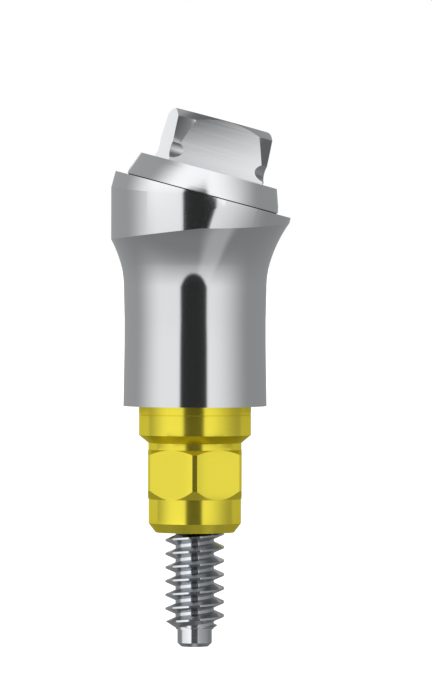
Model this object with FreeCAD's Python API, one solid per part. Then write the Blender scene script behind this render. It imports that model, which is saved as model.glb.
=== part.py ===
"""Angled dental abutment with its captive fixing screw, in millimetres.

The origin is the centre of the seat that rests on the implant. +Z runs up the
implant axis. The head leans towards +X. Three pieces are made: the abutment
body, the hexed connection sleeve pressed into it from below, and the screw
that the sleeve traps.
"""
import FreeCAD, Part
import math
import os

# Cuff of the body, turned about the implant axis
seat_radius = 1.912
waist_radius = 1.885
waist_low = 1.63
waist_high = 2.30
flare_foot_radius = 1.904
flare_foot_height = 3.15
flare_bend_radius = 1.928
flare_bend_height = 3.50
flare_knee_radius = 1.984
flare_knee_height = 3.79
flare_belly_radius = 2.211
flare_belly_height = 4.379
flare_rim_radius = 2.553
flare_rim_height = 4.94

# Leaning head of the body
head_lean_deg = 15.0
head_shift = 0.21
head_height = 5.647
platform_radius = 2.42
flank_shift = 0.167
flank_radius = 2.413
collar_offset = -0.025
collar_foot_radius = 2.08
collar_edge_radius = 2.045
collar_edge_height = 0.19
collar_top_radius = 1.885
collar_height = 0.65
collar_relief_width = 0.03
collar_relief_depth = 0.03

# Four-sided post on the head, heights measured along its own axis
post_flats = 2.62
post_turn_deg = 9.0
post_corner_radius = 1.845
post_taper_start = 0.62
post_shoulder_radius = 1.575
post_shoulder_height = 1.855
post_top_radius = 1.29
post_height = 2.04
snap_groove_ring = 1.885
snap_groove_radius = 0.24
snap_groove_height = 0.96

# Passages inside the body
sleeve_bore_radius = 1.30
chamber_top = 2.66
driver_channel_radius = 0.55
bore_mouth_chamfer = 0.06

# Connection sleeve
sleeve_collar_radius = 1.498
sleeve_collar_length = 0.775
collar_line_depth = 0.214
collar_line_width = 0.03
neck_radius = 1.245
neck_cone_length = 0.21
neck_length = 0.385
hex_flats = 2.50
hex_corner_radius = 1.408
hex_top_chamfer = 0.12
hex_length = 1.32
hex_bottom_chamfer = 0.23
hex_turn_deg = -90.0
pilot_radius = 1.236
pilot_length = 0.65
pilot_chamfer_width = 0.187
pilot_chamfer_length = 0.245
spigot_length = 1.40
screw_hole_clearance = 0.045

# Screw
thread_crest_radius = 0.785
thread_root_radius = 0.515
thread_pitch = 0.366
thread_crest_width = 0.05
thread_root_width = 0.08
thread_showing = 2.589
thread_hidden = 0.42
thread_runout = 0.25
shank_radius = 0.50
tip_radius = 0.462
tip_length = 0.46
tip_chamfer = 0.10
screw_head_clearance = 0.10
screw_head_height = 1.10
screw_head_chamfer = 0.10
screw_seat_gap = 0.01
socket_flats = 0.90
socket_depth = 0.70

# Length by which cutting tools run past the faces they open
overcut = 0.5

UP = FreeCAD.Vector(0, 0, 1)
HEX_SIDES = 6
POST_SIDES = 4


def at(radius, height):
    """A point of a half section, in the XZ plane."""
    return FreeCAD.Vector(radius, 0, height)


def line(start, end):
    return Part.LineSegment(start, end).toShape()


def arc(start, middle, end):
    return Part.Arc(start, middle, end).toShape()


def revolve(edges):
    """A solid turned about Z from the edges of a closed half section."""
    wire = Part.Wire(edges)
    return Part.Face(wire).revolve(FreeCAD.Vector(0, 0, 0), UP, 360)


def turned(points):
    """A solid turned about Z from a closed half section with straight edges."""
    corners = [at(radius, height) for radius, height in points]
    following = corners[1:] + corners[:1]
    return revolve([line(a, b) for a, b in zip(corners, following)])


def cylinder(radius, low, high):
    return Part.makeCylinder(radius, high - low, FreeCAD.Vector(0, 0, low))


def prism(sides, flats, low, high, turn_deg):
    """A regular prism about Z, sized across its flats."""
    corner = flats / 2 / math.cos(math.pi / sides)
    points = []
    for index in range(sides + 1):
        angle = math.radians(turn_deg) + 2 * math.pi * index / sides
        points.append(FreeCAD.Vector(corner * math.cos(angle), corner * math.sin(angle), low))
    face = Part.Face(Part.makePolygon(points))
    return face.extrude(FreeCAD.Vector(0, 0, high - low))


def lean(shape, offset=0):
    """Moves a shape made about Z onto the head's leaning axis, offset along the platform."""
    moved = shape.copy()
    moved.translate(at(offset, 0))
    moved.rotate(FreeCAD.Vector(0, 0, 0), FreeCAD.Vector(0, 1, 0), head_lean_deg)
    moved.translate(at(head_shift, head_height))
    return moved


def flared_cuff():
    """The turned cuff, carried up past the head that trims it."""
    reach = 2 * platform_radius
    top = head_height + reach
    edges = [
        line(at(0, 0), at(seat_radius, 0)),
        line(at(seat_radius, 0), at(waist_radius, waist_low)),
        line(at(waist_radius, waist_low), at(waist_radius, waist_high)),
        line(at(waist_radius, waist_high), at(flare_foot_radius, flare_foot_height)),
        arc(at(flare_foot_radius, flare_foot_height), at(flare_bend_radius, flare_bend_height),
            at(flare_knee_radius, flare_knee_height)),
        arc(at(flare_knee_radius, flare_knee_height), at(flare_belly_radius, flare_belly_height),
            at(flare_rim_radius, flare_rim_height)),
        line(at(flare_rim_radius, flare_rim_height), at(reach, flare_rim_height)),
        line(at(reach, flare_rim_height), at(reach, top)),
        line(at(reach, top), at(0, top)),
        line(at(0, top), at(0, 0)),
    ]
    return revolve(edges)


def platform_block():
    """The leaning cylinder under the platform, trimmed by the upright flank, on an upright stem."""
    leaning = lean(cylinder(platform_radius, -head_height, 0))
    flank = cylinder(flank_radius, flare_bend_height, head_height + platform_radius)
    flank.translate(at(flank_shift, 0))
    stem = cylinder(flare_belly_radius, -overcut, flare_bend_height)
    return leaning.common(flank).fuse(stem)


def collar():
    """The tapered seat of the crown, with a fine relief where it meets the platform."""
    relief_radius = collar_foot_radius - collar_relief_depth
    return turned([
        (0, -overcut), (relief_radius, -overcut), (relief_radius, collar_relief_width),
        (collar_foot_radius, collar_relief_width), (collar_edge_radius, collar_edge_height),
        (collar_top_radius, collar_height), (0, collar_height),
    ])


def post():
    """A turned blank with a snap groove, milled to four flats."""
    blank = turned([
        (0, 0), (post_corner_radius, 0), (post_corner_radius, post_taper_start),
        (post_shoulder_radius, post_shoulder_height), (post_top_radius, post_height),
        (0, post_height),
    ])
    groove = Part.makeTorus(snap_groove_ring, snap_groove_radius,
                            FreeCAD.Vector(0, 0, snap_groove_height), UP)
    flats_turn = post_turn_deg + 180 / POST_SIDES
    flats = prism(POST_SIDES, post_flats, -overcut, post_height + overcut, flats_turn)
    return blank.cut(groove).common(flats)


def abutment_body():
    """Cuff, leaning platform, collar and post in one piece, bored for sleeve, screw and driver."""
    outer = flared_cuff().common(platform_block())
    outer = outer.fuse([lean(collar(), collar_offset), lean(post(), collar_offset)])
    chamber = turned([
        (0, -overcut), (sleeve_bore_radius + bore_mouth_chamfer, -overcut),
        (sleeve_bore_radius + bore_mouth_chamfer, 0), (sleeve_bore_radius, bore_mouth_chamfer),
        (sleeve_bore_radius, chamber_top), (0, chamber_top),
    ])
    channel_top = head_height + collar_height + 2 * post_height
    channel = cylinder(driver_channel_radius, chamber_top - overcut, channel_top)
    return outer.cut([chamber, channel]).removeSplitter()


def implant_connection():
    """Sleeve with collar, hexagon and pilot below the seat, and a spigot pressed into the body."""
    neck_top = -sleeve_collar_length - neck_cone_length
    hex_top = -sleeve_collar_length - neck_length
    hex_low = hex_top - hex_length
    pilot_low = hex_low - pilot_length
    foot = pilot_low - pilot_chamfer_length
    flat_radius = hex_flats / 2
    groove_low = -collar_line_depth - collar_line_width
    groove_radius = sleeve_collar_radius - collar_line_width / 2
    shell = turned([
        (0, spigot_length), (sleeve_bore_radius, spigot_length), (sleeve_bore_radius, 0),
        (sleeve_collar_radius, 0), (sleeve_collar_radius, -collar_line_depth),
        (groove_radius, -collar_line_depth - collar_line_width / 2),
        (sleeve_collar_radius, groove_low), (sleeve_collar_radius, -sleeve_collar_length),
        (neck_radius, neck_top), (neck_radius, hex_top), (pilot_radius, hex_low),
        (pilot_radius, pilot_low), (pilot_radius - pilot_chamfer_width, foot), (0, foot),
    ])
    turned_hex = turned([
        (0, hex_top), (flat_radius, hex_top), (hex_corner_radius, hex_top - hex_top_chamfer),
        (hex_corner_radius, hex_low + hex_bottom_chamfer), (flat_radius, hex_low), (0, hex_low),
    ])
    hexagon = turned_hex.common(prism(HEX_SIDES, hex_flats, hex_low, hex_top, hex_turn_deg))
    hole_radius = thread_crest_radius + screw_hole_clearance
    hole = cylinder(hole_radius, foot - overcut, spigot_length + overcut)
    return shell.fuse(hexagon).cut(hole).removeSplitter()


def sleeve_foot():
    """The height of the sleeve's lower face."""
    return -(sleeve_collar_length + neck_length + hex_length + pilot_length + pilot_chamfer_length)


def thread_ridge(low, high):
    """One continuous right-handed ridge, standing on the root of the thread."""
    core = thread_root_radius - thread_crest_width
    helix = Part.makeHelix(thread_pitch, high - low, thread_root_radius)
    helix.translate(FreeCAD.Vector(0, 0, low))
    half_base = (thread_pitch - thread_root_width) / 2
    half_crest = thread_crest_width / 2
    profile = Part.makePolygon([
        at(core, low - half_base), at(thread_root_radius, low - half_base),
        at(thread_crest_radius, low - half_crest), at(thread_crest_radius, low + half_crest),
        at(thread_root_radius, low + half_base), at(core, low + half_base),
        at(core, low - half_base),
    ])
    sweep = Part.BRepOffsetAPI.MakePipeShell(helix)
    sweep.setFrenetMode(True)
    sweep.add(profile)
    sweep.build()
    sweep.makeSolid()
    return sweep.shape()


def abutment_screw():
    """Socket-headed screw: head on the sleeve, shank through it, thread and pilot tip below."""
    head_radius = sleeve_bore_radius - screw_head_clearance
    head_low = spigot_length + screw_seat_gap
    head_top = head_low + screw_head_height
    thread_top = sleeve_foot() + thread_hidden
    thread_low = sleeve_foot() - thread_showing
    tip_low = thread_low - tip_length
    core = turned([
        (0, tip_low), (tip_radius - tip_chamfer, tip_low), (tip_radius, tip_low + tip_chamfer),
        (tip_radius, thread_low), (thread_root_radius, thread_low + tip_chamfer),
        (thread_root_radius, thread_top), (shank_radius, thread_top), (shank_radius, head_low),
        (head_radius, head_low), (head_radius, head_top - screw_head_chamfer),
        (head_radius - screw_head_chamfer, head_top), (0, head_top),
    ])
    ridge = thread_ridge(thread_low, thread_top)
    trim_radius = thread_crest_radius + thread_crest_width
    envelope = turned([
        (0, thread_low), (tip_radius, thread_low), (trim_radius, thread_low + thread_runout),
        (trim_radius, thread_top - thread_runout), (shank_radius, thread_top), (0, thread_top),
    ])
    socket = prism(HEX_SIDES, socket_flats, head_top - socket_depth, head_top + overcut, 0)
    return core.fuse(ridge.common(envelope)).cut(socket)


def main():
    os.makedirs("parts", exist_ok=True)
    nodes = {
        "abutment_body": abutment_body(),
        "implant_connection": implant_connection(),
        "abutment_screw": abutment_screw(),
    }
    for name, shape in nodes.items():
        shape.exportStep("parts/" + name + ".step")
        print(name, "solids:", len(shape.Solids), "valid:", shape.isValid())


main()
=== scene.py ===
"""Looks of the angled dental abutment, in metres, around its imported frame.

Each of the three pieces is made again as a finely divided mesh of the same size
and place, so that its metal mirrors the studio cleanly. Sizes named here are in
millimetres and are those of the frame.
"""
import math

import bmesh
import bpy
from mathutils import Matrix, Vector


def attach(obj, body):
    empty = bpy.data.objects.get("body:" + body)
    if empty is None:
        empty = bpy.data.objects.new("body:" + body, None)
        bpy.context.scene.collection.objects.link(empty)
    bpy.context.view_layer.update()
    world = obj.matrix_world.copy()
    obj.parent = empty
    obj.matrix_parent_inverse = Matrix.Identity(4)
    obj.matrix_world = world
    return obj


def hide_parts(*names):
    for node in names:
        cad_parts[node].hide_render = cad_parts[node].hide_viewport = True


# Unit and mesh work, with gaps and margins in millimetres
MM = 0.001
SEGMENTS = 192
ARC_STEPS = 14
TUBE_STEPS = 40
SHARP_ANGLE_DEG = 9.0
OVERCUT = 0.5
ON_AXIS = 1e-9
MERGE_GAP = 0.0002
REGION_MARGIN = 0.001
GROOVE_MARGIN = 0.002

# Cuff of the body, turned about the implant axis
SEAT_RADIUS = 1.912
WAIST_RADIUS = 1.885
WAIST_LOW = 1.63
WAIST_HIGH = 2.30
FLARE_FOOT = (1.904, 3.15)
FLARE_BEND = (1.928, 3.50)
FLARE_KNEE = (1.984, 3.79)
FLARE_BELLY = (2.211, 4.379)
FLARE_RIM = (2.553, 4.94)

# Leaning head of the body
HEAD_LEAN_DEG = 15.0
HEAD_SHIFT = 0.21
HEAD_HEIGHT = 5.647
PLATFORM_RADIUS = 2.42
FLANK_SHIFT = 0.167
FLANK_RADIUS = 2.413
COLLAR_OFFSET = -0.025
COLLAR_FOOT_RADIUS = 2.08
COLLAR_EDGE_RADIUS = 2.045
COLLAR_EDGE_HEIGHT = 0.19
COLLAR_TOP_RADIUS = 1.885
COLLAR_HEIGHT = 0.65
COLLAR_RELIEF = 0.03

# Four-sided post
POST_SIDES = 4
POST_FLATS = 2.62
POST_TURN_DEG = 9.0
POST_CORNER_RADIUS = 1.845
POST_TAPER_START = 0.62
POST_SHOULDER = (1.575, 1.855)
POST_TOP_RADIUS = 1.29
POST_HEIGHT = 2.04
SNAP_GROOVE_RING = 1.885
SNAP_GROOVE_RADIUS = 0.24
SNAP_GROOVE_HEIGHT = 0.96

# Passages inside the body
SLEEVE_BORE_RADIUS = 1.30
CHAMBER_TOP = 2.66
DRIVER_CHANNEL_RADIUS = 0.55
BORE_MOUTH_CHAMFER = 0.06

# Connection sleeve
SLEEVE_COLLAR_RADIUS = 1.498
SLEEVE_COLLAR_LENGTH = 0.775
COLLAR_LINE_DEPTH = 0.214
COLLAR_LINE_WIDTH = 0.03
NECK_RADIUS = 1.245
NECK_CONE_LENGTH = 0.21
NECK_LENGTH = 0.385
HEX_SIDES = 6
HEX_FLATS = 2.50
HEX_CORNER_RADIUS = 1.408
HEX_TOP_CHAMFER = 0.12
HEX_LENGTH = 1.32
HEX_BOTTOM_CHAMFER = 0.23
HEX_TURN_DEG = -90.0
PILOT_RADIUS = 1.236
PILOT_LENGTH = 0.65
PILOT_CHAMFER = (0.187, 0.245)
SPIGOT_LENGTH = 1.40
SCREW_HOLE_RADIUS = 0.83

# Screw
THREAD_CREST_RADIUS = 0.785
THREAD_ROOT_RADIUS = 0.515
THREAD_PITCH = 0.366
THREAD_CREST_WIDTH = 0.05
THREAD_ROOT_WIDTH = 0.08
THREAD_SHOWING = 2.589
THREAD_HIDDEN = 0.42
THREAD_RUNOUT = 0.25
THREAD_SPARE_TURNS = 3
THREAD_CORE_GAP = 0.01
THREAD_FLANK_STEPS = 3
THREAD_SHARP_ANGLE_DEG = 30.0
SHANK_RADIUS = 0.50
TIP_RADIUS = 0.462
TIP_LENGTH = 0.46
TIP_CHAMFER = 0.10
HEAD_RADIUS = 1.20
HEAD_LOW = 1.41
HEAD_TOP = 2.51
HEAD_CHAMFER = 0.10
SOCKET_FLATS = 0.90
SOCKET_DEPTH = 0.70

# Colours of the metals, and of darker copies of them that paint shade, as linear light
WHITE = (1, 1, 1)
TITANIUM = (0.76, 0.775, 0.79)
GOLD = (0.99, 0.855, 0.08)
GOLD_EDGE = (1.0, 0.93, 0.35)
# Darker copy of the gold for the neck cone: painted shade where the cone faces down
GOLD_PAINTED_SHADE = (0.56, 0.47, 0.02)
SCREW_METAL = (0.55, 0.57, 0.59)
# Near-black copy of the titanium for the fine relief under the collar: painted shade
RECESS_PAINTED_SHADE = (0.10, 0.10, 0.11)
# Darker copy of the titanium for the snap groove: painted shade, with a real rougher finish
GROOVE_METAL_PAINTED_SHADE = (0.62, 0.635, 0.65)

# Polish of the metals
TITANIUM_ROUGHNESS = 0.11
HEAD_ROUGHNESS = 0.15
RECESS_ROUGHNESS = 0.5
GROOVE_ROUGHNESS = 0.36
GOLD_ROUGHNESS = 0.17
GOLD_PAINTED_SHADE_ROUGHNESS = 0.35
GOLD_METALLIC = 0.87
SCREW_ROUGHNESS = 0.14

# Turning lines on the head, as a noise that is much finer along the axis, in waves per metre
BRUSH_ACROSS = 300.0
BRUSH_FINENESS = 14000.0
BRUSH_DETAIL = 3.0
BRUSH_STRENGTH = 0.2
BRUSH_DEPTH = 0.000004

# Tent round the object, in metres; directions are in degrees, and levels are brightnesses
TENT_RADIUS = 0.15
TENT_CENTRE = 0.002
TENT_STEP_DEG = 1.5

# Bright field in front. Each side starts with a height and its half width there, and goes on
# with the next heights and the change of the half width on the way to them.
BOX_LEVEL = 1.06
BOX_HIGH_LEVEL = 1.22
BOX_HIGH_DEG = (2, 15)
BOX_LEFT = [(0, 82), (14, 6), (40, -24), (58, -54)]
BOX_LEFT_SOFT_DEG = 29
BOX_RIGHT = [(0, 61), (12, 2), (34, -10), (56, -40)]
BOX_RIGHT_SOFT_DEG = 37

# Cloth at the sides and overhead
SIDE_LEFT_LEVEL = 0.39
SIDE_RIGHT_LEVEL = 0.33
TOP_LEVEL = 0.16
TOP_EDGE_DEG = (40, 58)

# Ground that darkens downwards and is bright again right below the object, with a slanting
# brighter strip across it in front
GROUND_LEVEL = 0.235
GROUND_EDGE_DEG = (-13, 46)
GROUND_DEEP_LEVEL = 0.18
GROUND_DEEP_DEG = (50, 72)
GROUND_BELOW_LEVEL = 0.52
GROUND_BELOW_DEG = (76, 86)
GROUND_STRIP = 0.2
GROUND_STRIP_NEAR = (0.08, 0.42)
GROUND_STRIP_FAR = (0.5, 0.74)
GROUND_STRIP_SLANT = 0.34
GROUND_STRIP_AHEAD = (-0.2, 0.2)
GROUND_STRIP_START_DEG = 1

# Dark flag in the middle of the bright field, which narrows upwards and downwards
FLAG_LEVEL = 0.028
FLAG_CENTRE_DEG = -2.3
FLAG_HALF_DEG = 22.0
FLAG_SOFT_DEG = 1.2
FLAG_TOP_DEG = 36.0
FLAG_TOP_POWER = 0.22
FLAG_FADE_DEG = (25, 36)
FLAG_LEAN = -0.02
FLAG_LOW_DEG = 17.0
FLAG_LOW_POWER = 0.36

# Cards near the object: name, centre, turn about the axis in degrees, width and height, then the
# levels at the low left, low right, top left and top right corners. The head's cards stand in
# the frame of its leaning axis.
CARD_STEPS = 8
HEAD_CARDS = [
    ("card_front", (2.52, -9.0, 1.78), 0, (4.0, 2.4), (1.02, 1.34, -1.1, 0.65)),
    ("card_left", (-2.38, 4.06, 1.76), 18, (1.9, 2.7), (0.94, 0.94, 0.94, 0.94)),
    ("card_corner_left", (-2.36, -1.75, 2.15), -74.6, (1.7, 0.86), (0.10, 0.30, 0.10, 0.30)),
    ("card_corner_right", (2.70, -0.46, 1.95), 110, (1.4, 0.95), (0.14, 0.14, 0.14, 0.14)),
]
LOW_CARDS = [
    ("card_screw_left", (-2.87, -2.0, -5.08), -55, (4.6, 3.46), (1.15, 1.7, 1.15, 1.7)),
    ("card_screw_middle", (0.18, -3.5, -5.08), 3, (2.1, 3.46), (0.12, 0.12, 0.12, 0.12)),
    ("card_screw_right", (3.09, -1.64, -5.08), 62, (5.4, 3.46), (0.7, 0.36, 0.34, 0.2)),
    ("card_hex_left", (-2.25, -1.3, -1.82), -60, (2.1, 1.3), (0.79, 0.79, 0.79, 0.79)),
    ("card_hex_right", (2.25, -1.3, -1.82), 60, (2.1, 1.3), (0.79, 0.79, 0.79, 0.79)),
    ("card_neck", (0.0, -2.1, -0.91), 0, (4.2, 0.2), (0.1, 0.1, 0.1, 0.1)),
    ("card_sleeve_left", (-2.44, 2.91, -1.8), 40, (7.4, 3.1), (0.57, 0.57, 0.57, 0.57)),
    ("card_sleeve_right", (2.44, 2.91, -1.8), -40, (7.4, 3.1), (0.46, 0.46, 0.46, 0.46)),
]

# Room, floor and lamps, in metres; a lamp has a name, a place, a width and height, and a power
WORLD_LIGHT = 0.6
FLOOR_HALF_SIZE = 1.5
FLOOR_HEIGHT = -0.0066
FLOOR_COLOR = (0.8, 0.8, 0.8)
FLOOR_ROUGHNESS = 0.9
FLOOR_GLOW = 0.8
LAMPS = [
    ("lamp_left", -0.10, -0.12, 0.12, (0.08, 0.16), 0.05),
    ("lamp_right", 0.10, -0.12, 0.12, (0.08, 0.16), 0.05),
]

# Camera, in metres and millimetres of lens
VIEW_HEIGHT = 0.01869
VIEW_CENTRE = (0.000558, 0.001495)
LENS_MM = 400
SENSOR_MM = 36
ROLL_DEG = 0.1
ELEVATION_DEG = 1.0
CLIP_NEAR = 0.001
CLIP_FAR = 10


def arc(start, middle, end):
    """Points along the arc through three points of a half section, without its first."""
    ax, ay = start
    bx, by = middle
    cx, cy = end
    twice_area = 2 * (ax * (by - cy) + bx * (cy - ay) + cx * (ay - by))
    square_a = ax * ax + ay * ay
    square_b = bx * bx + by * by
    square_c = cx * cx + cy * cy
    centre_x = square_a * (by - cy) + square_b * (cy - ay) + square_c * (ay - by)
    centre_x /= twice_area
    centre_y = square_a * (cx - bx) + square_b * (ax - cx) + square_c * (bx - ax)
    centre_y /= twice_area
    radius = math.hypot(ax - centre_x, ay - centre_y)
    first = math.atan2(ay - centre_y, ax - centre_x)
    turn = math.atan2(cy - centre_y, cx - centre_x) - first
    turn = (turn + math.pi) % (2 * math.pi) - math.pi
    angles = [first + turn * step / ARC_STEPS for step in range(1, ARC_STEPS + 1)]
    return [(centre_x + radius * math.cos(a), centre_y + radius * math.sin(a)) for a in angles]


def new_object(name, bm):
    """Links a bmesh as an object and frees it."""
    bmesh.ops.recalc_face_normals(bm, faces=bm.faces)
    mesh = bpy.data.meshes.new(name)
    bm.to_mesh(mesh)
    bm.free()
    obj = bpy.data.objects.new(name, mesh)
    bpy.context.scene.collection.objects.link(obj)
    return obj


def ring(bm, radius, height, segments):
    """One ring of vertices about Z, or a single vertex on the axis."""
    if radius < ON_AXIS:
        return [bm.verts.new((0, 0, height * MM))]
    steps = [2 * math.pi * index / segments for index in range(segments)]
    return [bm.verts.new((radius * MM * math.cos(a), radius * MM * math.sin(a), height * MM))
            for a in steps]


def lathe(name, profile, segments=SEGMENTS):
    """A closed solid turned about Z from a half section that starts and ends on the axis."""
    bm = bmesh.new()
    rings = [ring(bm, radius, height, segments) for radius, height in profile]
    for low, high in zip(rings, rings[1:]):
        for index in range(segments):
            after = (index + 1) % segments
            if len(low) == 1:
                bm.faces.new((low[0], high[after], high[index]))
            elif len(high) == 1:
                bm.faces.new((low[index], low[after], high[0]))
            else:
                bm.faces.new((low[index], low[after], high[after], high[index]))
    return new_object(name, bm)


def cylinder(name, radius, low, high):
    """A round solid about Z between two heights."""
    return lathe(name, [(0, low), (radius, low), (radius, high), (0, high)])


def prism(name, sides, flats, low, high, turn_deg):
    """A regular prism about Z, sized across its flats."""
    corner = flats / 2 / math.cos(math.pi / sides)
    obj = lathe(name, [(0, low), (corner, low), (corner, high), (0, high)], sides)
    obj.data.transform(Matrix.Rotation(math.radians(turn_deg), 4, "Z"))
    return obj


def torus(name, ring_radius, tube_radius, height):
    """A ring of round section, for cutting the snap groove."""
    bm = bmesh.new()
    loops = []
    for step in range(TUBE_STEPS):
        angle = 2 * math.pi * step / TUBE_STEPS
        radius = ring_radius + tube_radius * math.cos(angle)
        loops.append(ring(bm, radius, height + tube_radius * math.sin(angle), SEGMENTS))
    for low, high in zip(loops, loops[1:] + loops[:1]):
        for index in range(SEGMENTS):
            after = (index + 1) % SEGMENTS
            bm.faces.new((low[index], low[after], high[after], high[index]))
    return new_object(name, bm)


def combine(target, tool, operation):
    """Applies one boolean to the target and removes the tool."""
    modifier = target.modifiers.new("boolean", "BOOLEAN")
    modifier.operation = operation
    modifier.solver = "EXACT"
    modifier.object = tool
    graph = bpy.context.evaluated_depsgraph_get()
    result = bpy.data.meshes.new_from_object(target.evaluated_get(graph))
    target.modifiers.clear()
    target.data = result
    bpy.data.objects.remove(tool)
    return target


def lean(obj, offset=0):
    """Moves a shape made about Z onto the head's leaning axis, offset along the platform."""
    turn = Matrix.Rotation(math.radians(HEAD_LEAN_DEG), 4, "Y")
    move = Matrix.Translation((HEAD_SHIFT * MM, 0, HEAD_HEIGHT * MM))
    obj.data.transform(move @ turn @ Matrix.Translation((offset * MM, 0, 0)))
    return obj


def finish_surface(obj, angle_deg=SHARP_ANGLE_DEG):
    """Smooth shading with crisp edges wherever faces meet at more than the given angle."""
    bm = bmesh.new()
    bm.from_mesh(obj.data)
    bmesh.ops.remove_doubles(bm, verts=bm.verts, dist=MERGE_GAP * MM)
    bmesh.ops.dissolve_degenerate(bm, edges=bm.edges, dist=MERGE_GAP * MM)
    bm.to_mesh(obj.data)
    bm.free()
    obj.data.polygons.foreach_set("use_smooth", [True] * len(obj.data.polygons))
    obj.data.set_sharp_from_angle(angle=math.radians(angle_deg))


def flared_cuff():
    """The cuff and its flare, with a wide blank above from which the head is cut."""
    reach = 2 * PLATFORM_RADIUS
    top = HEAD_HEIGHT + reach
    profile = [(0, 0), (SEAT_RADIUS, 0), (WAIST_RADIUS, WAIST_LOW), (WAIST_RADIUS, WAIST_HIGH),
               FLARE_FOOT]
    profile += arc(FLARE_FOOT, FLARE_BEND, FLARE_KNEE)
    profile += arc(FLARE_KNEE, FLARE_BELLY, FLARE_RIM)
    profile += [(reach, FLARE_RIM[1]), (reach, top), (0, top)]
    return lathe("abutment_body_fine", profile)


def collar():
    """The tapered collar over its fine relief, about Z."""
    relief = COLLAR_FOOT_RADIUS - COLLAR_RELIEF
    return lathe("collar", [
        (0, -OVERCUT), (relief, -OVERCUT), (relief, COLLAR_RELIEF),
        (COLLAR_FOOT_RADIUS, COLLAR_RELIEF), (COLLAR_EDGE_RADIUS, COLLAR_EDGE_HEIGHT),
        (COLLAR_TOP_RADIUS, COLLAR_HEIGHT), (0, COLLAR_HEIGHT),
    ])


def post():
    """The post with its four flats, domed corners and snap groove, about Z."""
    blank = lathe("post", [
        (0, 0), (POST_CORNER_RADIUS, 0), (POST_CORNER_RADIUS, POST_TAPER_START),
        POST_SHOULDER, (POST_TOP_RADIUS, POST_HEIGHT), (0, POST_HEIGHT),
    ])
    groove = torus("groove", SNAP_GROOVE_RING, SNAP_GROOVE_RADIUS, SNAP_GROOVE_HEIGHT)
    combine(blank, groove, "DIFFERENCE")
    turn = POST_TURN_DEG + 180 / POST_SIDES
    flats = prism("flats", POST_SIDES, POST_FLATS, -OVERCUT, POST_HEIGHT + OVERCUT, turn)
    return combine(blank, flats, "INTERSECT")


def abutment_body():
    """Cuff, leaning platform, collar and post, bored for sleeve, screw and driver."""
    body = flared_cuff()
    leaning = lean(cylinder("leaning", PLATFORM_RADIUS, -HEAD_HEIGHT, 0))
    flank = cylinder("flank", FLANK_RADIUS, FLARE_BEND[1], HEAD_HEIGHT + PLATFORM_RADIUS)
    flank.data.transform(Matrix.Translation((FLANK_SHIFT * MM, 0, 0)))
    combine(leaning, flank, "INTERSECT")
    combine(leaning, cylinder("stem", FLARE_BELLY[0], -OVERCUT, FLARE_BEND[1]), "UNION")
    combine(body, leaning, "INTERSECT")
    combine(body, lean(collar(), COLLAR_OFFSET), "UNION")
    combine(body, lean(post(), COLLAR_OFFSET), "UNION")
    mouth = SLEEVE_BORE_RADIUS + BORE_MOUTH_CHAMFER
    chamber = lathe("chamber", [
        (0, -OVERCUT), (mouth, -OVERCUT), (mouth, 0), (SLEEVE_BORE_RADIUS, BORE_MOUTH_CHAMFER),
        (SLEEVE_BORE_RADIUS, CHAMBER_TOP), (0, CHAMBER_TOP),
    ])
    combine(body, chamber, "DIFFERENCE")
    channel_top = HEAD_HEIGHT + COLLAR_HEIGHT + 2 * POST_HEIGHT
    channel = cylinder("channel", DRIVER_CHANNEL_RADIUS, CHAMBER_TOP - OVERCUT, channel_top)
    combine(body, channel, "DIFFERENCE")
    finish_surface(body)
    return body


def implant_connection():
    """Sleeve with collar, hexagon and pilot below the seat, and a spigot above it."""
    neck_top = -SLEEVE_COLLAR_LENGTH - NECK_CONE_LENGTH
    hex_top = -SLEEVE_COLLAR_LENGTH - NECK_LENGTH
    hex_low = hex_top - HEX_LENGTH
    pilot_low = hex_low - PILOT_LENGTH
    foot = pilot_low - PILOT_CHAMFER[1]
    line_low = -COLLAR_LINE_DEPTH - COLLAR_LINE_WIDTH
    sleeve = lathe("implant_connection_fine", [
        (0, SPIGOT_LENGTH), (SLEEVE_BORE_RADIUS, SPIGOT_LENGTH), (SLEEVE_BORE_RADIUS, 0),
        (SLEEVE_COLLAR_RADIUS, 0), (SLEEVE_COLLAR_RADIUS, -COLLAR_LINE_DEPTH),
        (SLEEVE_COLLAR_RADIUS - COLLAR_LINE_WIDTH / 2, line_low + COLLAR_LINE_WIDTH / 2),
        (SLEEVE_COLLAR_RADIUS, line_low), (SLEEVE_COLLAR_RADIUS, -SLEEVE_COLLAR_LENGTH),
        (NECK_RADIUS, neck_top), (NECK_RADIUS, hex_top), (PILOT_RADIUS, hex_low),
        (PILOT_RADIUS, pilot_low), (PILOT_RADIUS - PILOT_CHAMFER[0], foot), (0, foot),
    ])
    half = HEX_FLATS / 2
    hexagon = lathe("hexagon", [
        (0, hex_top), (half, hex_top), (HEX_CORNER_RADIUS, hex_top - HEX_TOP_CHAMFER),
        (HEX_CORNER_RADIUS, hex_low + HEX_BOTTOM_CHAMFER), (half, hex_low), (0, hex_low),
    ])
    flats = prism("hex_flats", HEX_SIDES, HEX_FLATS, hex_low - OVERCUT, hex_top + OVERCUT,
                  HEX_TURN_DEG)
    combine(hexagon, flats, "INTERSECT")
    combine(sleeve, hexagon, "UNION")
    hole = cylinder("hole", SCREW_HOLE_RADIUS, foot - OVERCUT, SPIGOT_LENGTH + OVERCUT)
    combine(sleeve, hole, "DIFFERENCE")
    finish_surface(sleeve)
    return sleeve, foot


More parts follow.
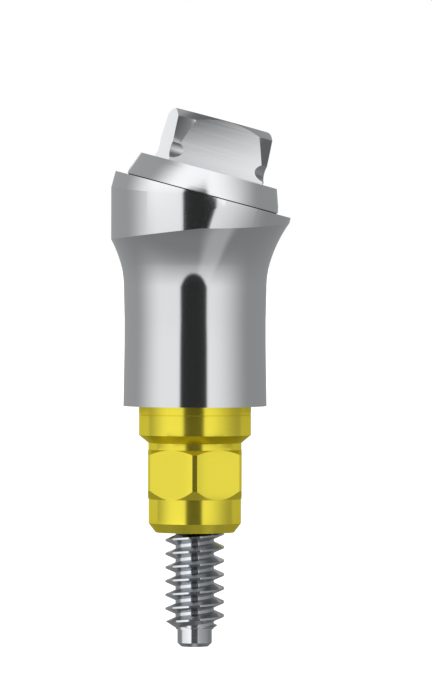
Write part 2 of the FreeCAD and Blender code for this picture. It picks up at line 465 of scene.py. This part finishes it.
def thread_ridge(bm, low, high):
    """Adds a right-handed thread's skin, which tapers into the core at both ends."""
    half_base = (THREAD_PITCH - THREAD_ROOT_WIDTH) / 2
    half_crest = THREAD_CREST_WIDTH / 2
    trim = THREAD_CREST_RADIUS + THREAD_CREST_WIDTH
    section = []
    for step in range(THREAD_FLANK_STEPS):
        part = step / THREAD_FLANK_STEPS
        section.append((-half_base + (half_base - half_crest) * part,
                        THREAD_ROOT_RADIUS + (THREAD_CREST_RADIUS - THREAD_ROOT_RADIUS) * part))
    section.append((-half_crest, THREAD_CREST_RADIUS))
    section += [(-offset, radius) for offset, radius in reversed(section)]
    turns = math.ceil((high - low) / THREAD_PITCH) + THREAD_SPARE_TURNS
    rows = turns * len(section)
    columns = []
    for index in range(SEGMENTS):
        angle = 2 * math.pi * index / SEGMENTS
        rise = THREAD_PITCH * (index / SEGMENTS - 1)
        column = []
        for turn in range(turns):
            for offset, radius in section:
                height = min(max(low + rise + turn * THREAD_PITCH + offset, low), high)
                ramp_low = (height - low) / THREAD_RUNOUT
                ramp_high = (high - height) / THREAD_RUNOUT
                limit_low = TIP_RADIUS + (trim - TIP_RADIUS) * ramp_low
                limit_high = SHANK_RADIUS + (trim - SHANK_RADIUS) * ramp_high
                reach = min(radius, limit_low, limit_high) * MM
                column.append(bm.verts.new((reach * math.cos(angle), reach * math.sin(angle),
                                            height * MM)))
        columns.append(column)
    for index in range(SEGMENTS):
        after = (index + 1) % SEGMENTS
        skip = len(section) if after == 0 else 0
        for row in range(rows - 1 - skip):
            bm.faces.new((columns[index][row], columns[after][row + skip],
                          columns[after][row + skip + 1], columns[index][row + 1]))


def abutment_screw(foot):
    """The captive screw: thread below the sleeve, head and hexagonal socket inside the body."""
    thread_top = foot + THREAD_HIDDEN
    thread_low = foot - THREAD_SHOWING
    tip_low = thread_low - TIP_LENGTH
    core = THREAD_ROOT_RADIUS - THREAD_CORE_GAP
    screw = lathe("abutment_screw_fine", [
        (0, tip_low), (TIP_RADIUS - TIP_CHAMFER, tip_low), (TIP_RADIUS, tip_low + TIP_CHAMFER),
        (TIP_RADIUS, thread_low), (core, thread_low), (core, thread_top),
        (SHANK_RADIUS, thread_top), (SHANK_RADIUS, HEAD_LOW), (HEAD_RADIUS, HEAD_LOW),
        (HEAD_RADIUS, HEAD_TOP - HEAD_CHAMFER), (HEAD_RADIUS - HEAD_CHAMFER, HEAD_TOP),
        (0, HEAD_TOP),
    ])
    socket = prism("socket", HEX_SIDES, SOCKET_FLATS, HEAD_TOP - SOCKET_DEPTH,
                   HEAD_TOP + OVERCUT, 0)
    combine(screw, socket, "DIFFERENCE")
    bm = bmesh.new()
    bm.from_mesh(screw.data)
    thread_ridge(bm, thread_low, thread_top)
    bm.to_mesh(screw.data)
    bm.free()
    finish_surface(screw, THREAD_SHARP_ANGLE_DEG)
    return screw


def in_head_frame(point):
    """A point's distance from the axis of the collar and its height over the platform."""
    turn = Matrix.Rotation(math.radians(-HEAD_LEAN_DEG), 4, "Y")
    x, y, z = turn @ (point / MM - Vector((HEAD_SHIFT, 0, HEAD_HEIGHT)))
    return math.hypot(x - COLLAR_OFFSET, y), z


def on_head(point):
    """Whether a point of the body lies on the collar or the post."""
    radius, height = in_head_frame(point)
    return height > REGION_MARGIN and radius < COLLAR_FOOT_RADIUS + REGION_MARGIN


def in_recess(point):
    """Whether a point of the body lies in the fine relief under the collar."""
    radius, height = in_head_frame(point)
    inside = COLLAR_FOOT_RADIUS - 2 * COLLAR_RELIEF < radius < COLLAR_FOOT_RADIUS
    return inside and REGION_MARGIN < height < COLLAR_RELIEF + REGION_MARGIN


def in_snap_groove(point):
    """Whether a point of the body lies in the round groove that cuts the post's corners."""
    radius, height = in_head_frame(point)
    from_ring = math.hypot(radius - SNAP_GROOVE_RING, height - SNAP_GROOVE_HEIGHT)
    return from_ring < SNAP_GROOVE_RADIUS + GROOVE_MARGIN


def on_neck_cone(point):
    """Whether a point of the sleeve lies on the cone between its collar and its neck."""
    depth = -point.z / MM - SLEEVE_COLLAR_LENGTH
    return 0 < depth < NECK_CONE_LENGTH and math.hypot(point.x, point.y) / MM > NECK_RADIUS


def coat(obj, material):
    """Gives a whole object one metal."""
    obj.data.materials.clear()
    obj.data.materials.append(material)


def paint(obj, inside, material):
    """Gives the faces that lie inside a region a material of their own: another finish, or a
    darker copy of the metal that paints shade.
    """
    obj.data.materials.append(material)
    index = len(obj.data.materials) - 1
    for polygon in obj.data.polygons:
        if inside(polygon.center):
            polygon.material_index = index


def metal(name, color, roughness, metallic=1.0, edge=WHITE):
    """A satin metal that mirrors the studio softly, with another tint at glancing angles."""
    material = bpy.data.materials.new(name)
    material.use_nodes = True
    shader = material.node_tree.nodes["Principled BSDF"]
    shader.inputs["Base Color"].default_value = (*color, 1)
    shader.inputs["Metallic"].default_value = metallic
    shader.inputs["Roughness"].default_value = roughness
    shader.inputs["Specular Tint"].default_value = (*edge, 1)
    return material


def brush(material):
    """Adds fine turning lines that run round the head's leaning axis."""
    nodes = material.node_tree.nodes
    links = material.node_tree.links
    place = nodes.new("ShaderNodeTexCoord")
    turn = nodes.new("ShaderNodeMapping")
    turn.vector_type = "TEXTURE"
    turn.inputs["Rotation"].default_value = (0, math.radians(HEAD_LEAN_DEG), 0)
    stretch = nodes.new("ShaderNodeVectorMath")
    stretch.operation = "MULTIPLY"
    stretch.inputs[1].default_value = (BRUSH_ACROSS, BRUSH_ACROSS, BRUSH_FINENESS)
    noise = nodes.new("ShaderNodeTexNoise")
    noise.inputs["Scale"].default_value = 1.0
    noise.inputs["Detail"].default_value = BRUSH_DETAIL
    bump = nodes.new("ShaderNodeBump")
    bump.inputs["Strength"].default_value = BRUSH_STRENGTH
    bump.inputs["Distance"].default_value = BRUSH_DEPTH
    links.new(place.outputs["Object"], turn.inputs["Vector"])
    links.new(turn.outputs["Vector"], stretch.inputs[0])
    links.new(stretch.outputs["Vector"], noise.inputs["Vector"])
    links.new(noise.outputs["Fac"], bump.inputs["Height"])
    links.new(bump.outputs["Normal"], nodes["Principled BSDF"].inputs["Normal"])


def smooth(value, low, high):
    """0 below low, 1 above high and a soft step between."""
    part = min(max((value - low) / (high - low), 0), 1)
    return part * part * (3 - 2 * part)


def tent_level(azimuth, elevation):
    """How bright the tent is in a direction, in degrees; azimuth 0 is towards the camera."""
    widths = BOX_LEFT if azimuth < 0 else BOX_RIGHT
    half_width = widths[0][1]
    for (start, _), (end, change) in zip(widths, widths[1:]):
        half_width += change * smooth(elevation, start, end)
    soft = BOX_LEFT_SOFT_DEG if azimuth < 0 else BOX_RIGHT_SOFT_DEG
    box = 1 - smooth(abs(azimuth), half_width - soft, half_width + soft)
    side = SIDE_LEFT_LEVEL if azimuth < 0 else SIDE_RIGHT_LEVEL
    side += (TOP_LEVEL - side) * smooth(elevation, *TOP_EDGE_DEG)
    box_level = BOX_LEVEL + (BOX_HIGH_LEVEL - BOX_LEVEL) * smooth(elevation, *BOX_HIGH_DEG)
    level = side + (box_level - side) * box
    ground = smooth(-elevation, *GROUND_EDGE_DEG)
    deep = smooth(-elevation, *GROUND_DEEP_DEG)
    ground_level = GROUND_LEVEL + (GROUND_DEEP_LEVEL - GROUND_LEVEL) * deep
    below = smooth(-elevation, *GROUND_BELOW_DEG)
    ground_level += (GROUND_BELOW_LEVEL - ground_level) * below
    if elevation < 0:
        reach = 1 / math.tan(math.radians(max(-elevation, GROUND_STRIP_START_DEG)))
        across = reach * math.sin(math.radians(azimuth))
        along = reach * math.cos(math.radians(azimuth))
        far = across - GROUND_STRIP_SLANT * along
        strip = smooth(across, *GROUND_STRIP_NEAR) * (1 - smooth(far, *GROUND_STRIP_FAR))
        ground_level += GROUND_STRIP * strip * smooth(along, *GROUND_STRIP_AHEAD)
    level += (ground_level - level) * ground
    limit = FLAG_TOP_DEG if elevation > 0 else FLAG_LOW_DEG
    power = FLAG_TOP_POWER if elevation > 0 else FLAG_LOW_POWER
    half = FLAG_HALF_DEG * max(0, 1 - abs(elevation) / limit) ** power
    centre = FLAG_CENTRE_DEG + FLAG_LEAN * max(elevation, 0)
    flag = 1 - smooth(abs(azimuth - centre), half - FLAG_SOFT_DEG, half + FLAG_SOFT_DEG)
    flag *= min(1, half / FLAG_SOFT_DEG) * (1 - smooth(elevation, *FLAG_FADE_DEG))
    return level + (FLAG_LEVEL - level) * flag


def level_faces(bm, layer, grid):
    """Fills a grid of (vertex, level) with faces that carry the levels."""
    for low, high in zip(grid, grid[1:]):
        for column in range(len(low) - 1):
            corners = [low[column], low[column + 1], high[column + 1], high[column]]
            face = bm.faces.new([vert for vert, level in corners])
            for loop, (vert, level) in zip(face.loops, corners):
                loop[layer] = (level, level, level, 1)


def show_in_metal(name, bm):
    """Links a glowing cloth or card that only mirrors show, with its levels stored on it."""
    mesh = bpy.data.meshes.new(name)
    bm.to_mesh(mesh)
    bm.free()
    obj = bpy.data.objects.new(name, mesh)
    bpy.context.scene.collection.objects.link(obj)
    material = bpy.data.materials.new(name)
    material.use_nodes = True
    nodes = material.node_tree.nodes
    nodes.clear()
    output = nodes.new("ShaderNodeOutputMaterial")
    emission = nodes.new("ShaderNodeEmission")
    level = nodes.new("ShaderNodeVertexColor")
    level.layer_name = "level"
    material.node_tree.links.new(level.outputs["Color"], emission.inputs["Color"])
    material.node_tree.links.new(emission.outputs["Emission"], output.inputs["Surface"])
    material.cycles.emission_sampling = "NONE"
    obj.data.materials.append(material)
    obj.visible_camera = False
    obj.visible_diffuse = False
    obj.visible_transmission = False
    obj.visible_shadow = False
    return obj


def light_tent():
    """A tent of soft light and dark cloth round the object that shows only in its metal."""
    bm = bmesh.new()
    levels = bm.loops.layers.float_color.new("level")
    across = int(360 / TENT_STEP_DEG)
    up = int(180 / TENT_STEP_DEG)
    grid = []
    for row in range(up + 1):
        elevation = -90 + row * TENT_STEP_DEG
        reach = TENT_RADIUS * math.cos(math.radians(elevation))
        height = TENT_CENTRE + TENT_RADIUS * math.sin(math.radians(elevation))
        line = []
        for column in range(across + 1):
            azimuth = -180 + column * TENT_STEP_DEG
            turn = math.radians(azimuth)
            vert = bm.verts.new((reach * math.sin(turn), -reach * math.cos(turn), height))
            line.append((vert, tent_level(azimuth, elevation)))
        grid.append(line)
    level_faces(bm, levels, grid)
    show_in_metal("light_tent", bm)


def light_card(name, centre, across_deg, size, levels):
    """A glowing card near the object, with a level at each corner."""
    bm = bmesh.new()
    layer = bm.loops.layers.float_color.new("level")
    low_left, low_right, top_left, top_right = levels
    across = Vector((math.cos(math.radians(across_deg)), math.sin(math.radians(across_deg)), 0))
    middle = Vector(centre)
    grid = []
    for row in range(CARD_STEPS + 1):
        up = row / CARD_STEPS
        line = []
        for column in range(CARD_STEPS + 1):
            right = column / CARD_STEPS
            sideways = across * (right - 0.5) * size[0]
            point = middle + sideways + Vector((0, 0, up - 0.5)) * size[1]
            low = low_left + (low_right - low_left) * right
            high = top_left + (top_right - top_left) * right
            line.append((bm.verts.new(point * MM), max(0, low + (high - low) * up)))
        grid.append(line)
    level_faces(bm, layer, grid)
    return show_in_metal(name, bm)


def room():
    """A white room behind everything."""
    world = bpy.data.worlds.new("studio")
    bpy.context.scene.world = world
    world.use_nodes = True
    nodes = world.node_tree.nodes
    links = world.node_tree.links
    background = nodes["Background"]
    path = nodes.new("ShaderNodeLightPath")
    seen = nodes.new("ShaderNodeMath")
    seen.operation = "MAXIMUM"
    links.new(path.outputs["Is Camera Ray"], seen.inputs[0])
    links.new(path.outputs["Is Transmission Ray"], seen.inputs[1])
    either = nodes.new("ShaderNodeMath")
    either.operation = "MAXIMUM"
    links.new(seen.outputs[0], either.inputs[0])
    links.new(path.outputs["Is Glossy Ray"], either.inputs[1])
    level = nodes.new("ShaderNodeMapRange")
    level.inputs["To Min"].default_value = WORLD_LIGHT
    level.inputs["To Max"].default_value = 1.0
    links.new(either.outputs[0], level.inputs["Value"])
    background.inputs["Color"].default_value = (*WHITE, 1)
    links.new(level.outputs["Result"], background.inputs["Strength"])


def floor():
    """A plain pale floor under the screw's tip."""
    bm = bmesh.new()
    half = FLOOR_HALF_SIZE
    corners = [bm.verts.new((x, y, FLOOR_HEIGHT))
               for x, y in ((-half, -half), (half, -half), (half, half), (-half, half))]
    bm.faces.new(corners)
    obj = new_object("floor", bm)
    material = bpy.data.materials.new("floor")
    material.use_nodes = True
    nodes = material.node_tree.nodes
    links = material.node_tree.links
    shader = nodes["Principled BSDF"]
    shader.inputs["Base Color"].default_value = (*FLOOR_COLOR, 1)
    shader.inputs["Roughness"].default_value = FLOOR_ROUGHNESS
    shader.inputs["Emission Color"].default_value = (*WHITE, 1)
    path = nodes.new("ShaderNodeLightPath")
    glow_level = nodes.new("ShaderNodeMath")
    glow_level.operation = "MULTIPLY"
    glow_level.inputs[1].default_value = FLOOR_GLOW
    links.new(path.outputs["Is Camera Ray"], glow_level.inputs[0])
    links.new(glow_level.outputs[0], shader.inputs["Emission Strength"])
    obj.data.materials.append(material)
    obj.visible_glossy = False


def lamps():
    """Two area lamps in front that light what isn't mirrored."""
    for name, x, y, z, size, power in LAMPS:
        data = bpy.data.lights.new(name, "AREA")
        data.shape = "RECTANGLE"
        data.size = size[0]
        data.size_y = size[1]
        data.energy = power
        lamp = bpy.data.objects.new(name, data)
        bpy.context.scene.collection.objects.link(lamp)
        lamp.location = (x, y, z)
        lamp.rotation_euler = (-Vector((x, y, z))).to_track_quat("-Z", "Y").to_euler()
        lamp.visible_glossy = False


def camera():
    """A long lens on the level of the head, square to the plane in which it leans."""
    data = bpy.data.cameras.new("camera")
    data.lens = LENS_MM
    data.sensor_width = SENSOR_MM
    distance = VIEW_HEIGHT * LENS_MM / SENSOR_MM
    data.clip_start = CLIP_NEAR
    data.clip_end = CLIP_FAR
    obj = bpy.data.objects.new("camera", data)
    bpy.context.scene.collection.objects.link(obj)
    tilt = math.radians(ELEVATION_DEG)
    obj.location = (VIEW_CENTRE[0], -distance * math.cos(tilt),
                    VIEW_CENTRE[1] + distance * math.sin(tilt))
    look = Matrix.Rotation(math.pi / 2 - tilt, 3, "X")
    look = look @ Matrix.Rotation(math.radians(ROLL_DEG), 3, "Z")
    obj.rotation_euler = look.to_euler()
    bpy.context.scene.camera = obj


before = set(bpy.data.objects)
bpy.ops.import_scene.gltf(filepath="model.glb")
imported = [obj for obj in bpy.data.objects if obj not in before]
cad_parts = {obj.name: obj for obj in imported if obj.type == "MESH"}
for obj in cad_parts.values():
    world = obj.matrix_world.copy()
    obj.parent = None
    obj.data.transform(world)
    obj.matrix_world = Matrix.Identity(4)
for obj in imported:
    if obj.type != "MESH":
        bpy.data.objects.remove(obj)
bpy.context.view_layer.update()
bpy.context.scene.view_settings.view_transform = "Standard"

titanium = metal("body_titanium", TITANIUM, TITANIUM_ROUGHNESS)
head_titanium = metal("head_titanium", TITANIUM, HEAD_ROUGHNESS)
brush(head_titanium)
# The relief's near-black copy of the titanium is painted shade
shade = metal("recess_painted_shade", RECESS_PAINTED_SHADE, RECESS_ROUGHNESS)
groove_rough_titanium_painted_shade = metal("groove_rough_titanium_painted_shade", GROOVE_METAL_PAINTED_SHADE, GROOVE_ROUGHNESS)
gold = metal("connection_gold", GOLD, GOLD_ROUGHNESS, GOLD_METALLIC, GOLD_EDGE)
# A darker, rougher copy of the gold that paints shade on the neck cone
gold_painted_shade = metal("gold_painted_shade", GOLD_PAINTED_SHADE, GOLD_PAINTED_SHADE_ROUGHNESS, GOLD_METALLIC, GOLD_EDGE)
screw_metal = metal("screw_titanium", SCREW_METAL, SCREW_ROUGHNESS)

body = abutment_body()
coat(body, titanium)
paint(body, on_head, head_titanium)
# Painted shade in the fine relief under the collar
paint(body, in_recess, shade)
# The snap groove: a rougher finish, and painted shade from its darker colour
paint(body, in_snap_groove, groove_rough_titanium_painted_shade)
sleeve, foot_height = implant_connection()
coat(sleeve, gold)
# Painted shade on the neck cone
paint(sleeve, on_neck_cone, gold_painted_shade)
screw = abutment_screw(foot_height)
coat(screw, screw_metal)

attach(body, "abutment")
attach(sleeve, "abutment")
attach(screw, "screw")
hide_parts("abutment_body")
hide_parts("implant_connection")
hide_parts("abutment_screw")

light_tent()
for card in LOW_CARDS:
    light_card(*card)
for card in HEAD_CARDS:
    lean(light_card(*card), COLLAR_OFFSET)
room()
floor()
lamps()
camera()
